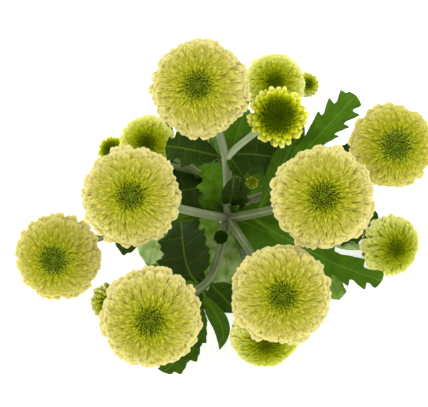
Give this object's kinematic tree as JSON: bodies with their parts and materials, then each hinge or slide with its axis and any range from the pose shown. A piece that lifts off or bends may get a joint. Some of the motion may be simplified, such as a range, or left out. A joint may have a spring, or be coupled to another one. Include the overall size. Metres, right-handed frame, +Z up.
{
  "type": "pompon chrysanthemum",
  "caption": "Cut spray of pompon chrysanthemum laid down: a branching green stem with round layered blooms, opening heads, buds and lobed leaves.",
  "frame": {"origin": "middle of the spray's footprint, on the surface that it lies on", "axes": "+Y back along the lying stem towards its cut end, so the crown of blooms faces -Y and up; +Z up from the surface; +X across the crown"},
  "size_m": [0.215, 0.2962, 0.1591],
  "materials": {
    "stem": "matte",
    "leaf": "matte",
    "petal_cream": "matte",
    "petal_lime": "matte",
    "petal_young": "matte",
    "bud_green": "matte"
  },
  "bodies": {
    "root": {"stem": "stem", "bloom_top": "petal_cream", "bloom_left": "petal_cream", "bloom_right": "petal_cream", "bloom_low_right": "petal_cream", "bloom_low_left": "petal_cream", "bloom_far_left": "petal_cream", "bloom_far_right": "petal_cream", "bloom_right_low": "petal_lime", "bloom_rear": "petal_lime", "bloom_left_rear": "petal_lime", "bloom_front_low": "petal_lime", "opening_top": "petal_young", "opening_front_left": "petal_young", "opening_left": "petal_young", "opening_rear": "petal_young", "bud_middle": "bud_green", "bud_inner": "bud_green", "leaf_upper_right": "leaf", "leaf_lower_right": "leaf", "leaf_bottom": "leaf", "leaf_bottom_left": "leaf", "leaf_left_inner": "leaf", "leaf_upper_left": "leaf", "leaf_upper_inner": "leaf", "leaf_top_inner": "leaf", "leaf_fork": "leaf", "leaf_left_low": "leaf", "leaf_left_under": "leaf", "leaf_right_low": "leaf", "leaf_far_right": "leaf", "leaf_right_edge": "leaf", "leaf_right_under": "leaf", "leaf_stem_front": "leaf", "leaf_stem_left": "leaf", "leaf_stem_right": "leaf", "leaf_stem_rear_left": "leaf", "leaf_stem_rear_right": "leaf", "leaf_behind_fork": "leaf"}
  },
  "joints": []
}
